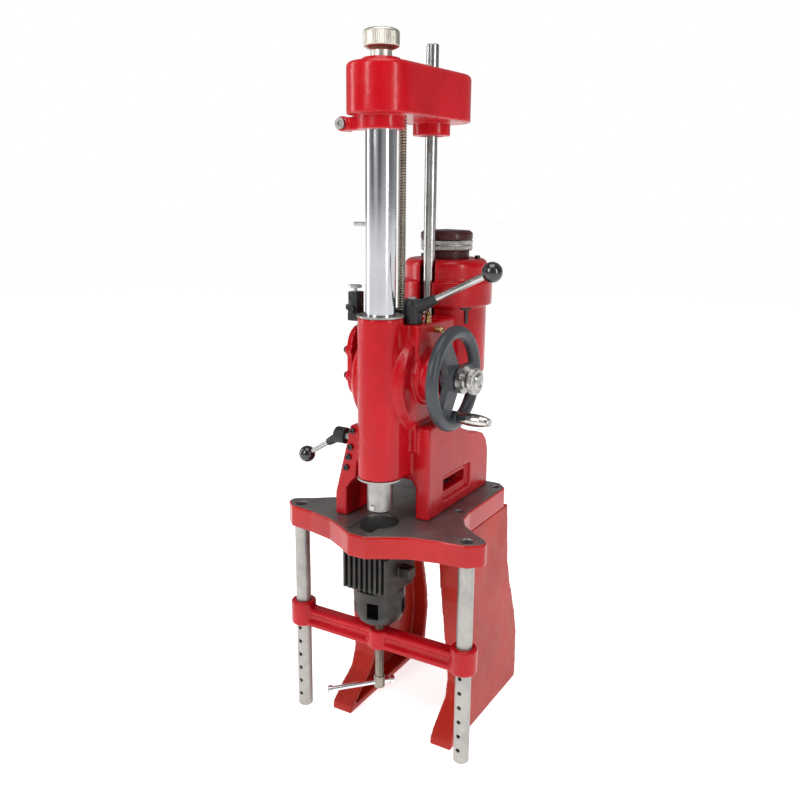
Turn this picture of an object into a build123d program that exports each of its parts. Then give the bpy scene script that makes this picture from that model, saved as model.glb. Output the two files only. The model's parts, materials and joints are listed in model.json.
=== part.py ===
from build123d import *
import math
import os

# Vertical cylinder boring machine on a clamping stand, in millimetres.
# Modelled about the spindle axis (X = Y = 0) with the floor at Z = 0, Y towards the motor,
# then shifted so that the origin is the middle of the footprint of the whole machine.

SEAT = 0.3  # room between pieces of different bodies that only pass each other

# --- stand ---
TABLE_TOP = 389.0
TABLE_THICK = 36.0
TABLE_BOTTOM = TABLE_TOP - TABLE_THICK
EAR_TIP = 180.0
TABLE_REAR = 269.0
TABLE_SIDE = 103.0
LEG_SPLAY_DEG = 2.4
LEG_WEB = 10.0
LEG_FLANGE = 39.0
LEG_BOLT_X = 86.0
LEG_BOLT_YS = (105.0, 246.0)
POST_X = 152.5
POST_R = 12.5
POST_NECK_R = 8.0
POST_NECK = 12.0
POST_BOLT_SINK_R = 9.5
POST_BOLT_SINK = 14.0
LEG_BOLT_SINK_R = 7.0
LEG_BOLT_SINK = 12.0
POST_BOTTOM = 16.6
POST_HOLE_R = 3.4
POST_HOLE_PITCH = 25.0
POST_HOLE_FIRST = 41.6
POST_HOLES = 7
BORE_CLEARANCE_R = 31.0

# --- machine body ---
BARREL_R = 34.4
BARREL_BOTTOM = 464.0
BARREL_TOP = 712.0
BAR_R = 22.5
BAR_BOTTOM = 470.0
RUNNING_FIT = 0.05
BUSH_R = 28.0
DRUM_R = 87.0
DRUM_Y = 72.0
WHEEL_Y = 60.0
WHEEL_Z = 618.0
SCREW_Y = 60.0
SCREW_R = 6.3
SCREW_BOTTOM = 561.0
ROD_Y = 148.0
ROD_R = 9.5
ROD_BOTTOM = 606.0
ROD_TOP = 1111.0
IDLER_Y = ROD_Y / 2
CASE_TOP = 699.0
CASE_SIDE = 52.0
PEDESTAL_HALF = 66.0
PEDESTAL_FRONT = 37.0
PEDESTAL_REAR = 255.0
ARCH_TOP = 452.0

# --- motor ---
MOTOR_Y = 207.0
MOTOR_R = 68.5
MOTOR_BOTTOM = 592.0
MOTOR_TOP = 787.0
MOTOR_BELT_R = 77.5
MOTOR_WALL = 7.0

# --- head and gears ---
HEAD_BOTTOM = 997.0
HEAD_TOP = 1066.0
HEAD_FRONT_R = 49.0
HEAD_REAR_R = 60.0
HEAD_WALL = 7.0
KNOB_BOSS = 6.0
CLAMP_EAR_X = -60.0
CLAMP_EAR_Z = 986.4
CLAMP_EAR_R = 10.5
GEAR_Z = 1016.0
GEAR_WIDTH = 16.0
MODULE = 2.0
SPINDLE_TEETH = 38
IDLER_TEETH = 36
ROD_GEAR_TEETH = 38
MOTOR_PINION_TEETH = 21
CROWN_TEETH = 32
NUT_TEETH = 16
CROWN_FACE = MODULE * NUT_TEETH / 2 + 2.0
SHAFT_END = 118.0
ROD_GEAR_Z = 634.0
SPINDLE_R = 11.0
SPINDLE_TOP = 1086.0
NOSE_R = 20.0
NOSE_BOTTOM = 408.0

# --- clamp under the table ---
BEAM_BOTTOM = 174.0
BEAM_TOP = 216.0
BEAM_BOSS_R = 21.0
CENTRE_BOSS_TOP = 206.0
CUP_BOTTOM = 219.0
CUP_TOP = 281.0
CUP_R = 41.0
CLAMP_SCREW_R = 7.0
CLAMP_SCREW_BOTTOM = 99.0
WORK_TOP = TABLE_BOTTOM - 0.4

TOMMY_ANGLE = 48.0

# --- handwheel, levers and trip ---
RIM_R = 70.5
RIM_X = 94.0
GRIP_R = 60.0
GRIP_START = RIM_X + 9
LEVER_X = 30.0
LEVER_Y = 42.0
LEVER_Z = CASE_TOP + SEAT
LEVER_TILT = 26.0
SHIFT_Y = 0.0
SHIFT_Z = 519.0
SHIFT_TILT = 32.0
TRIP_X = -58.0
TRIP_Y = 20.0


def drum(radius, height, x=0.0, y=0.0, z=0.0, axis="Z"):
    """Cylinder whose lower (or left, or front) end is centred at x, y, z."""
    turn = {"Z": Rot(0, 0, 0), "X": Rot(0, 90, 0), "Y": Rot(-90, 0, 0)}[axis]
    return Pos(x, y, z) * turn * Cylinder(radius, height, align=(Align.CENTER, Align.CENTER, Align.MIN))


def ring(outer, inner, height, x=0.0, y=0.0, z=0.0, axis="Z"):
    return drum(outer, height, x, y, z, axis) - drum(inner, height, x, y, z, axis)


def block(x0, x1, y0, y1, z0, z1):
    size = (x1 - x0, y1 - y0, z1 - z0)
    return Pos(x0, y0, z0) * Box(*size, align=(Align.MIN, Align.MIN, Align.MIN))


def side_prism(outline, x0, x1):
    """Solid from an outline of (Y, Z) points, from x0 to x1."""
    face = make_face(Plane.YZ.offset(x0) * Polyline(*outline, close=True))
    return extrude(face, amount=x1 - x0, dir=(1, 0, 0))


def front_prism(outline, y0, y1):
    """Solid from an outline of (X, Z) points, from y0 to y1."""
    face = make_face(Plane.XZ.offset(-y0) * Polyline(*outline, close=True))
    return extrude(face, amount=y1 - y0, dir=(0, 1, 0))


def turned(profile, x=0.0, y=0.0, z=0.0, axis="Z"):
    """Solid of revolution from (radius, height) points about an axis through x, y, z."""
    turn = {"Z": Rot(0, 0, 0), "X": Rot(0, 90, 0)}[axis]
    face = make_face(Plane.XZ * Polyline(*profile, close=True))
    return Pos(x, y, z) * turn * revolve(face, Axis.Z, 360)


def edges_at(solid, height):
    return solid.edges().filter_by(lambda e: abs(e.center().Z - height) < 0.01)


def cap_screw(x, y, z, axis="Z", head_r=6.5, shank_r=4.0, shank=20.0, head=8.0):
    """Hexagon-socket screw: head above x, y, z along the axis, shank below it."""
    turn = {"Z": Rot(0, 0, 0), "X": Rot(0, 90, 0), "-X": Rot(0, -90, 0),
            "-Y": Rot(90, 0, 0), "Y": Rot(-90, 0, 0)}[axis]
    body = drum(head_r, head) + drum(shank_r, shank, z=-shank)
    socket = extrude(RegularPolygon(head_r * 0.5, 6), amount=head * 0.6)
    return Pos(x, y, z) * turn * (body - Pos(0, 0, head * 0.4) * socket)


def spur_gear(teeth, width, bore, phase_deg=0.0, backlash=0.12):
    """Spur gear with straight flanks at the 20 degree pressure angle."""
    pitch_r = MODULE * teeth / 2
    half = math.pi * MODULE / 4 - backlash
    slope = math.tan(math.radians(20))
    tip, root = 0.8 * MODULE, -1.15 * MODULE
    points = []
    for i in range(teeth):
        centre = 2 * math.pi * i / teeth + math.radians(phase_deg)
        for level, side in ((root, -1), (tip, -1), (tip, 1), (root, 1)):
            angle = centre + side * (half - slope * level) / (pitch_r + level)
            points.append(((pitch_r + level) * math.cos(angle), (pitch_r + level) * math.sin(angle)))
    blank = extrude(make_face(Polyline(*points, close=True)), amount=width)
    return blank - drum(bore, width)


# --- stand -------------------------------------------------------------------------------

def stand_table():
    half = [(0, -68), (15, -68), (40, -52), (72, -34), (118, -23), (160, -18),
            (EAR_TIP, 0), (EAR_TIP, 14), (150, 34), (122, 56), (TABLE_SIDE + 6, 78),
            (TABLE_SIDE, 110), (TABLE_SIDE, TABLE_REAR - 18), (TABLE_SIDE - 18, TABLE_REAR)]
    outline = half + [(-x, y) for x, y in reversed(half[1:])]
    plate = extrude(Pos(0, 0, TABLE_BOTTOM) * make_face(Polyline(*outline, close=True)), amount=TABLE_THICK)
    plate = fillet(plate.edges().filter_by(Axis.Z), 9)
    plate = chamfer(edges_at(plate, TABLE_TOP), 1.5)
    plate -= drum(BORE_CLEARANCE_R, TABLE_THICK, z=TABLE_BOTTOM)
    plate -= block(-30, 13, -50, 0, TABLE_TOP - 8, TABLE_TOP)
    for side in (-1, 1):
        plate -= drum(POST_NECK_R, TABLE_THICK, side * POST_X, 0, TABLE_BOTTOM)
        plate -= drum(POST_BOLT_SINK_R, POST_BOLT_SINK, side * POST_X, 0, TABLE_TOP - POST_BOLT_SINK)
        for y in LEG_BOLT_YS:
            plate -= drum(4, TABLE_THICK, side * LEG_BOLT_X, y, TABLE_BOTTOM)
            plate -= drum(LEG_BOLT_SINK_R, LEG_BOLT_SINK, side * LEG_BOLT_X, y, TABLE_TOP - LEG_BOLT_SINK)
    return plate


def right_leg():
    front = [(31, -8), (33, 14), (60, 36), (88, 58), (97, 84), (96, 112), (88, 180), (78, 265), (72, 360)]
    rear = [(268, 360), (268, 245), (276, 205), (296, 140), (305, 95), (303, 50), (297, -8)]
    inset = 10.0
    outline = front + rear
    skin = side_prism(outline, TABLE_SIDE - LEG_FLANGE, TABLE_SIDE)
    hollow = [(y + inset, z) for y, z in front[1:-1]] + [(y - inset, z) for y, z in rear[1:-1]]
    hollow = [(44, 14)] + hollow[1:7] + [(82, 341), (258, 341)] + hollow[7:] + [(286, 14)]
    skin -= side_prism(hollow, TABLE_SIDE - LEG_FLANGE, TABLE_SIDE - LEG_WEB)
    corner = Pos(TABLE_SIDE, 0, TABLE_BOTTOM)
    skin = corner * Rot(0, -LEG_SPLAY_DEG, 0) * corner.inverse() * skin
    skin &= block(0, 200, 0, 320, 0, TABLE_BOTTOM)
    for y in LEG_BOLT_YS:
        skin -= drum(4, 20, LEG_BOLT_X, y, TABLE_BOTTOM - 20)
    return skin


def post(side):
    top = TABLE_BOTTOM + POST_NECK
    bar = drum(POST_R, TABLE_BOTTOM - POST_BOTTOM, side * POST_X, 0, POST_BOTTOM)
    bar = chamfer(edges_at(bar, POST_BOTTOM), 2.5)
    bar += drum(POST_NECK_R, POST_NECK, side * POST_X, 0, TABLE_BOTTOM)
    for i in range(POST_HOLES):
        bar -= drum(POST_HOLE_R, 40, side * POST_X, -20, POST_HOLE_FIRST + i * POST_HOLE_PITCH, "Y")
    return bar - drum(4, 30, side * POST_X, 0, top - 30)


def post_bolts():
    seat = TABLE_TOP - POST_BOLT_SINK
    return [cap_screw(side * POST_X, 0, seat, head_r=8, shank_r=4, shank=24, head=9) for side in (-1, 1)]


def leg_bolts():
    places = [(side * LEG_BOLT_X, y) for side in (-1, 1) for y in LEG_BOLT_YS]
    seat = TABLE_TOP - LEG_BOLT_SINK
    return [cap_screw(x, y, seat, head_r=6.5, shank_r=4, shank=34, head=8) for x, y in places]


# --- machine body ------------------------------------------------------------------------

def pedestal():
    """Lower part of the casting: two arms that straddle the spindle, and a hollow box behind."""
    profile = [(PEDESTAL_FRONT, TABLE_TOP), (PEDESTAL_REAR, TABLE_TOP), (PEDESTAL_REAR, 452), (247, 474),
               (232, 488), (210, 496), (180, 503), (150, 516), (128, 540), (PEDESTAL_FRONT, 540)]
    box = side_prism(profile, -PEDESTAL_HALF + 8, PEDESTAL_HALF)
    box = fillet(box.edges().filter_by(Axis.X).filter_by(lambda e: e.center().Z > 400), 8)
    arm_outline = [(-79, TABLE_TOP), (-50, TABLE_TOP), (-30, 540), (-50, 540), (-58, 506), (-79, 424)]
    arm = front_prism(arm_outline, -8, 60)
    side_window = block(PEDESTAL_HALF - 6, PEDESTAL_HALF, 88, 183, 408, 448)
    through = block(PEDESTAL_HALF - 40, PEDESTAL_HALF, 97, 174, 420, 438)
    arch = [(-58, TABLE_TOP), (43, TABLE_TOP), (43, 440), (34, ARCH_TOP), (-46, ARCH_TOP), (-58, 436)]
    hollow = front_prism(arch, -20, 236)
    return (box + arm) - hollow - side_window - through


def gear_case():
    """Round gear case between the barrel and the motor, with its boss for the handwheel shaft."""
    case = drum(DRUM_R, 95, -50, DRUM_Y, 612, "X")
    case = chamfer(case.edges().filter_by(GeomType.CIRCLE), 9)
    case += block(-50, 45, 30, 140, 500, 640)
    case += block(-46, 46, 100, 188, 596, 700)
    case += block(-40, CASE_SIDE, 24, 140, 640, CASE_TOP)
    case += turned([(0, 0), (44, 0), (44, 8), (34, 12), (26, 34), (0, 34)], 45, WHEEL_Y, WHEEL_Z, "X")
    return case


def machine_body():
    """Main casting: barrel for the boring bar, gear case, and pedestal."""
    barrel = drum(BARREL_R, BARREL_TOP - BARREL_BOTTOM, z=BARREL_BOTTOM)
    web = block(-BARREL_R, BARREL_R, 0, 60, BARREL_BOTTOM, CASE_TOP)
    body = barrel + web + gear_case() + pedestal()
    body -= drum(BUSH_R, BARREL_TOP - BARREL_BOTTOM, z=BARREL_BOTTOM)
    body -= block(-28, 34, 42, 118, 560, 682)
    body -= block(-60, -28, 48, 112, 570, 672)
    body -= drum(10, 330, 0, SCREW_Y, 400)
    body -= drum(16, 20, 0, SCREW_Y, 680)
    body -= drum(16, 10, 0, SCREW_Y, 551)
    body -= drum(13, 60, 30, WHEEL_Y, WHEEL_Z, "X")
    body -= drum(37, 17, 12, WHEEL_Y, WHEEL_Z, "X")
    body -= drum(6, 12, LEVER_X, LEVER_Y, CASE_TOP - 9)
    body -= drum(6, 12, -60, SHIFT_Y, SHIFT_Z, "X")
    for x, z in arm_screw_places():
        body -= drum(2.5, 10, x, -8, z, "Y")
    body -= drum(42, 26, 0, ROD_Y, ROD_GEAR_Z - 5)
    body -= drum(24, 26, 0, MOTOR_Y, ROD_GEAR_Z - 5)
    body -= drum(16, 120, 0, ROD_Y, ROD_BOTTOM)
    return body - drum(MOTOR_R, 300, 0, MOTOR_Y, MOTOR_BOTTOM)


def barrel_bush(z, height):
    return ring(BUSH_R, BAR_R + RUNNING_FIT, height, z=z)


def barrel_collar(z):
    return ring(BARREL_R + 0.8, BAR_R + 0.6, 3.0, z=z)


def left_gear_cover():
    outline = Pos(0, 50, 636) * Rot(0, -90, 0) * extrude(RectangleRounded(112, 104, 30), amount=9)
    lobes = Part()
    for y, z in cover_screw_places():
        lobes += drum(9, 11, -61, y, z, "X")
    plate = (Pos(-50, 0, 0) * outline + lobes) & block(-61, -50, -12, 112, 570, 700)
    for y, z in cover_screw_places():
        plate -= drum(2.5, 12, -61, y, z, "X")
    return plate


def cover_screw_places():
    angles = [math.radians(45 * i + 22.5) for i in range(8)]
    return [(50 + 50 * math.cos(a), 636 + 52 * math.sin(a)) for a in angles]


def left_cover_screws():
    return [cap_screw(-61, y, z, "-X", 5, 2.5, 6, 5) for y, z in cover_screw_places()]


def arm_screw_places():
    return [(-45 - 4 * i, z) for i, z in enumerate((532, 505, 488, 470))]


def arm_screws():
    return [cap_screw(x, -8, z, "-Y", 4.5, 2.5, 8, 4) for x, z in arm_screw_places()]


def screw_boss():
    """Black gland where the feed screw enters the gear case."""
    return ring(18, SCREW_R + 0.7, 18, 0, SCREW_Y, CASE_TOP) - block(-20, 20, 20, SCREW_Y - 14, 690, 720)


def feed_nut():
    nut = drum(12, 128, 0, SCREW_Y, 556) + drum(14, 6, 0, SCREW_Y, 562)
    return nut - drum(SCREW_R + RUNNING_FIT, 140, 0, SCREW_Y, 550)


def nut_pinion():
    z = WHEEL_Z - MODULE * CROWN_TEETH / 2 - 4
    return Pos(0, SCREW_Y, z) * spur_gear(NUT_TEETH, 8, 12, phase_deg=0.0, backlash=0.3)


def nut_bush(z, height):
    return ring(16, 12 + RUNNING_FIT, height, 0, SCREW_Y, z)


def crown_gear():
    """Face gear on the handwheel shaft: radial teeth that point at the feed nut's pinion."""
    pitch_r = MODULE * CROWN_TEETH / 2
    disc = ring(pitch_r + 3, 9, 6, CROWN_FACE, WHEEL_Y, WHEEL_Z, "X")
    tooth_w = math.pi * MODULE / 2 - 1.5
    tooth_depth = 3.7
    teeth = Part()
    for i in range(CROWN_TEETH):
        angle = 360 / CROWN_TEETH * (i + 0.5)
        tooth = Pos(CROWN_FACE - tooth_depth / 2, 0, pitch_r) * Box(tooth_depth, tooth_w, 6)
        teeth += Rot(angle, 0, 0) * tooth
    return disc + Pos(0, WHEEL_Y, WHEEL_Z) * teeth


def wheel_shaft():
    shaft = drum(9, SHAFT_END - CROWN_FACE, CROWN_FACE, WHEEL_Y, WHEEL_Z, "X")
    return shaft + drum(5, 12, SHAFT_END, WHEEL_Y, WHEEL_Z, "X")


def wheel_bush():
    return ring(13, 9 + RUNNING_FIT, 42, 37, WHEEL_Y, WHEEL_Z, "X")


# --- handwheel ---------------------------------------------------------------------------


def handwheel():
    rim = revolve(Pos(RIM_R, 0) * Plane.XZ * Ellipse(10.5, 9.5), Axis.Z, 360)
    rim = Pos(RIM_X, 0, 0) * Rot(0, 90, 0) * rim
    hub = turned([(9, -12), (20, -12), (22, -4), (22, 4), (19, 10), (9, 10)], RIM_X - 2, 0, 0, "X")
    wheel = rim + hub
    for i in range(3):
        spoke = Pos(0, 0, 43) * loft([Pos(0, 0, -28) * Rectangle(12, 36), Pos(0, 0, 22) * Rectangle(10, 30)])
        wheel += Rot(-90 + 120 * i, 0, 0) * Pos(RIM_X - 2, 0, 0) * spoke
    boss = drum(10, 14, RIM_X - 6, 0, -GRIP_R, "X")
    wheel = Pos(0, WHEEL_Y, WHEEL_Z) * (wheel + boss)
    wheel -= drum(9, 60, 70, WHEEL_Y, WHEEL_Z, "X")
    return wheel - drum(5, 40, 80, WHEEL_Y, WHEEL_Z - GRIP_R, "X")


def grip_pin():
    head = drum(6, 3, GRIP_START + 50, 0, 0, "X")
    return Pos(0, WHEEL_Y, WHEEL_Z - GRIP_R) * (drum(5, GRIP_START + 50 - 88, 88, 0, 0, "X") + head)


def crank_grip():
    profile = [(5.05, 0), (7, 0), (8.4, 6), (9.6, 16), (9.9, 26), (9.2, 38), (7.6, 46), (6.4, 49.6),
               (5.05, 49.6)]
    return turned(profile, GRIP_START, WHEEL_Y, WHEEL_Z - GRIP_R, "X")


def lock_collar():
    return turned([(9, 0), (14, 0), (14, 3), (21, 4), (21, 11), (14, 12), (12, 15), (9, 15)],
                  RIM_X + 8, WHEEL_Y, WHEEL_Z, "X")


def clutch_knob():
    """Knurled knob on the end of the handwheel shaft, with its threaded spigot."""
    profile = [(0, 0), (11, 0), (13, 4), (20, 6), (21, 7), (21, 14), (19, 16), (13, 16), (11, 19), (0, 19)]
    knob = turned(profile, SHAFT_END + SEAT, WHEEL_Y, WHEEL_Z, "X")
    return knob - drum(5 + RUNNING_FIT, 13, SHAFT_END, WHEEL_Y, WHEEL_Z, "X")


# --- levers ------------------------------------------------------------------------------


def lever_post():
    return drum(6, 49, LEVER_X, LEVER_Y, CASE_TOP - 9)


def feed_lever_hub():
    hub = turned([(6.05, 0), (15, 0), (15, 30), (12, 37), (6.05, 38)], LEVER_X, LEVER_Y, LEVER_Z)
    arm = Pos(LEVER_X, LEVER_Y, LEVER_Z + 20) * Rot(0, 90 - LEVER_TILT, 0) * Cone(
        11, 7, 46, align=(Align.CENTER, Align.CENTER, Align.MIN))
    return hub + arm - drum(6.05, 60, LEVER_X, LEVER_Y, LEVER_Z - 5)


def along_lever(distance):
    angle = math.radians(LEVER_TILT)
    return (LEVER_X + distance * math.cos(angle), LEVER_Y, LEVER_Z + 20 + distance * math.sin(angle))


def feed_lever_rod():
    return Pos(*along_lever(46)) * Rot(0, 90 - LEVER_TILT, 0) * Cylinder(
        5, 86, align=(Align.CENTER, Align.CENTER, Align.MIN))


def feed_lever_ball():
    ball = Pos(*along_lever(144)) * Sphere(15)
    rod = Pos(*along_lever(46)) * Rot(0, 90 - LEVER_TILT, 0) * Cylinder(
        5, 86, align=(Align.CENTER, Align.CENTER, Align.MIN))
    return ball - rod


def shift_shaft():
    return drum(6, 32, -84, SHIFT_Y, SHIFT_Z, "X")


def shift_direction():
    angle = math.radians(SHIFT_TILT)
    return (-math.cos(angle), -math.sin(angle))


def shift_hub():
    hub = ring(13, 6.05, 18, -80, SHIFT_Y, SHIFT_Z, "X")
    arm = Pos(-72, SHIFT_Y, SHIFT_Z) * Rot(0, -90 - SHIFT_TILT, 0) * Cone(
        9, 6, 30, align=(Align.CENTER, Align.CENTER, Align.MIN))
    return hub + arm - drum(6.05, 40, -90, SHIFT_Y, SHIFT_Z, "X")


def along_shift(distance):
    dx, dz = shift_direction()
    return (-72 + dx * distance, SHIFT_Y, SHIFT_Z + dz * distance)


def shift_rod():
    return Pos(*along_shift(30)) * Rot(0, -90 - SHIFT_TILT, 0) * Cylinder(
        4, 40, align=(Align.CENTER, Align.CENTER, Align.MIN))


def shift_ball():
    return Pos(*along_shift(80)) * Sphere(13.5) - shift_rod()


# --- depth trip --------------------------------------------------------------------------


def trip_body():
    base = block(-66, -34, 10, 34, 700, 712)
    body = base + block(-66, -50, 12, 32, 712, 744) + drum(10, 8, TRIP_X, TRIP_Y, 724)
    body += drum(9, 6, TRIP_X, TRIP_Y, 738) + block(-72, -66, 14, 26, 716, 724)
    body += drum(6, 12, TRIP_X, 6, 718, "Y")
    return body - drum(3.1, 40, TRIP_X, TRIP_Y, 712)


def trip_button():
    return drum(3, 26, TRIP_X, TRIP_Y, 724) + drum(10, 4, TRIP_X, TRIP_Y, 750)


def oil_cup():
    profile = [(0, 0), (5, 0), (5, 6), (3.4, 7), (3.4, 10), (4.6, 12), (3, 16), (0, 16)]
    return turned(profile, 46, 62, CASE_TOP)


def oil_elbow():
    return drum(4.5, 10, CASE_SIDE, 74, 688, "X") + Pos(CASE_SIDE + 11, 74, 688) * Sphere(5)


# --- motor -------------------------------------------------------------------------------

def motor_housing():
    shell = drum(MOTOR_R, MOTOR_TOP - MOTOR_BOTTOM, 0, MOTOR_Y, MOTOR_BOTTOM)
    shell = fillet(shell.edges().filter_by(GeomType.CIRCLE), 11)
    shell += chamfer(drum(MOTOR_BELT_R, 41, 0, MOTOR_Y, 712).edges().filter_by(GeomType.CIRCLE), 2)
    bore_r = MOTOR_R - MOTOR_WALL
    shell -= drum(bore_r, 60, 0, MOTOR_Y, 604) + drum(bore_r, 103, 0, MOTOR_Y, 672)
    shell -= drum(17, 120, 0, MOTOR_Y, 660)
    shell -= drum(14, 100, 0, ROD_Y, 700) + block(-14, 14, 120, ROD_Y, 700, 800)
    shell -= drum(42, 26, 0, ROD_Y, ROD_GEAR_Z - 5) + drum(9, 20, 0, MOTOR_Y, 775)
    shell -= belt_strap()
    for x, y in motor_bolt_places():
        shell -= drum(2.5, 8, x, y, MOTOR_TOP - 8)
    return shell - drum(16, 120, 0, ROD_Y, ROD_BOTTOM)


def motor_bearing(z):
    return ring(17, 8 + RUNNING_FIT, 8, 0, MOTOR_Y, z)


def motor_stator():
    return ring(MOTOR_R - MOTOR_WALL, 38, 72, 0, MOTOR_Y, 680) - drum(16, 100, 0, ROD_Y, 660)


def motor_rotor():
    return drum(36.5, 66, 0, MOTOR_Y, 683) + drum(8, 170, 0, MOTOR_Y, 606)


def motor_pinion():
    teeth = spur_gear(MOTOR_PINION_TEETH, GEAR_WIDTH, 8, phase_deg=-90.0, backlash=0.2)
    return Pos(0, MOTOR_Y, ROD_GEAR_Z) * teeth


def motor_ring():
    return ring(43, 30, 18, 0, MOTOR_Y, MOTOR_TOP + 13)


def motor_cap():
    cap = turned([(0, 0), (43, 0), (43, 10), (38, 14), (0, 16)], 0, MOTOR_Y, MOTOR_TOP + 31)
    cap += drum(30, 18, 0, MOTOR_Y, MOTOR_TOP + 13)
    return cap + ring(38, 10, 13, 0, MOTOR_Y, MOTOR_TOP)


def motor_bolt_places():
    radius = MOTOR_R - 16
    angles = [math.radians(a) for a in (15, 165)]
    return [(radius * math.cos(a), MOTOR_Y + radius * math.sin(a)) for a in angles]


def motor_bolts():
    places = motor_bolt_places()
    return [cap_screw(x, y, MOTOR_TOP, head_r=4.5, shank_r=2.5, shank=8, head=5) for x, y in places]


def belt_strap():
    """T-shaped lug under the motor's wide belt."""
    inner, outer = MOTOR_R - 2, MOTOR_R + 2
    lug = block(inner, outer, -9, 9, 708, 713) + block(inner, outer, -2.5, 2.5, 686, 713)
    return Pos(0, MOTOR_Y, 0) * Rot(0, 0, -33) * lug


# --- boring bar and head -----------------------------------------------------------------

def stadium(front_r, rear_r, z, height):
    """Two round ends joined by their common tangents."""
    lean = math.asin((rear_r - front_r) / ROD_Y)
    c, s = math.cos(lean), -math.sin(lean)
    outline = [(front_r * c, front_r * s), (rear_r * c, ROD_Y + rear_r * s),
               (-rear_r * c, ROD_Y + rear_r * s), (-front_r * c, front_r * s)]
    middle = extrude(Pos(0, 0, z) * make_face(Polyline(*outline, close=True)), amount=height)
    return middle + drum(front_r, height, z=z) + drum(rear_r, height, y=ROD_Y, z=z)


def head_casting():
    shell = stadium(HEAD_FRONT_R, HEAD_REAR_R, HEAD_BOTTOM, HEAD_TOP - HEAD_BOTTOM)
    shell = fillet(edges_at(shell, HEAD_TOP), 7)
    inner = stadium(HEAD_FRONT_R - HEAD_WALL, HEAD_REAR_R - HEAD_WALL, HEAD_BOTTOM, 57)
    shell += chamfer(drum(28, KNOB_BOSS, z=HEAD_TOP).edges().filter_by(GeomType.CIRCLE), 2)
    shell -= inner
    return shell - drum(16, 40, z=1050) - drum(ROD_R + 2, 40, y=ROD_Y, z=1050)


def head_plate():
    """Floor of the head, with the split clamp boss for the bar and the boss for the drive rod."""
    plate = stadium(HEAD_FRONT_R - HEAD_WALL, HEAD_REAR_R - HEAD_WALL, HEAD_BOTTOM, 9)
    plate += drum(34, 20, z=HEAD_BOTTOM - 20) + drum(29, 20, y=ROD_Y, z=HEAD_BOTTOM - 20)
    plate += block(CLAMP_EAR_X, -26, -10, 10, CLAMP_EAR_Z - 9, CLAMP_EAR_Z + 9)
    plate += drum(CLAMP_EAR_R, 24, CLAMP_EAR_X, -12, CLAMP_EAR_Z, "Y")
    plate -= drum(BAR_R, 29, z=HEAD_BOTTOM - 20)
    plate -= drum(18, 40, y=ROD_Y, z=HEAD_BOTTOM - 20)
    plate -= drum(SCREW_R, 40, 0, SCREW_Y, 977)
    plate -= drum(4, 60, CLAMP_EAR_X, -30, CLAMP_EAR_Z, "Y")
    return plate - block(CLAMP_EAR_X - 12, -BAR_R, 4, 5.6, 970, HEAD_BOTTOM)


def clamp_cap_screw():
    return cap_screw(CLAMP_EAR_X, -12, CLAMP_EAR_Z, "-Y", 8, 4, 20, 5)


def quill():
    tube = ring(BAR_R, 15, HEAD_BOTTOM + 9 - BAR_BOTTOM, z=BAR_BOTTOM)
    return tube - drum(3, 20, -30, 0, 846, "X")


def stop_pin():
    return drum(3, 26, -45.6, 0, 846, "X") & block(-50, -16, -5, 5, 840, 850)


def quill_bearing(z):
    return ring(15, SPINDLE_R + RUNNING_FIT, 14, z=z)


def feed_screw():
    return drum(SCREW_R, HEAD_BOTTOM + 9 - SCREW_BOTTOM, 0, SCREW_Y, SCREW_BOTTOM)


def knob_bearing():
    return ring(16, SPINDLE_R + RUNNING_FIT, 14, z=1056)


def idler_axle():
    return drum(8, 44, y=IDLER_Y, z=HEAD_BOTTOM + 9)


def rod_sleeve_bush():
    return ring(18, 14 + RUNNING_FIT, 26, y=ROD_Y, z=980)


def spindle_shaft():
    return drum(SPINDLE_R, SPINDLE_TOP - 468, z=468)


def spindle_nose():
    nose = drum(NOSE_R, BAR_BOTTOM - 0.5 - NOSE_BOTTOM, z=NOSE_BOTTOM)
    nose = chamfer(edges_at(nose, NOSE_BOTTOM), 3)
    nose -= drum(SPINDLE_R, 10, z=468)
    nose -= block(-3.5, 3.5, -NOSE_R, 12, 414, 421)
    return nose - drum(3, 8, z=NOSE_BOTTOM)


def cutter_bit():
    bit = block(-3.5, 3.5, -24, 12, 414, 421)
    return bit - Pos(0, -24, 417) * Rot(0, 0, 35) * block(0, 12, -8, 0, -5, 5)


def bit_screw():
    foot = NOSE_BOTTOM - 1.5
    return drum(3, 8, z=foot) - extrude(Pos(0, 0, foot) * RegularPolygon(1.6, 6), amount=3)


def spindle_gear():
    return Pos(0, 0, GEAR_Z) * spur_gear(SPINDLE_TEETH, GEAR_WIDTH, SPINDLE_R, phase_deg=90.0)


def idler_gear():
    half_pitch = 180 / IDLER_TEETH
    gear = spur_gear(IDLER_TEETH, GEAR_WIDTH, 8 + RUNNING_FIT, phase_deg=-90.0 + half_pitch)
    return Pos(0, IDLER_Y, GEAR_Z) * gear


def drive_gear():
    """Gear keyed to the drive rod: it turns with the rod and slides along it with the head."""
    bore = ROD_R + RUNNING_FIT
    phase = -90.0
    gear = Pos(0, ROD_Y, GEAR_Z) * spur_gear(SPINDLE_TEETH, GEAR_WIDTH, bore, phase_deg=phase)
    gear += ring(14, bore, GEAR_Z - 982, 0, ROD_Y, 982)
    return gear + block(-2.2, 2.2, ROD_Y - bore - 0.5, ROD_Y - ROD_R + 2.5, 984, GEAR_Z + GEAR_WIDTH)


def top_knob():
    base = HEAD_TOP + KNOB_BOSS + SEAT
    knob = turned([(0, 0), (15, 0), (15, 11), (23, 13), (25.5, 15), (25.5, 33), (22, 36.5), (0, 38.5)], 0, 0, base)
    return knob - drum(SPINDLE_R, SPINDLE_TOP - base, z=base)


def drive_rod():
    rod = drum(ROD_R, ROD_TOP - ROD_BOTTOM, 0, ROD_Y, ROD_BOTTOM)
    rod = chamfer(edges_at(rod, ROD_TOP), 1.5)
    return rod - block(-2.5, 2.5, ROD_Y - ROD_R - 1, ROD_Y - ROD_R + 3, 720, ROD_TOP)


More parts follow.
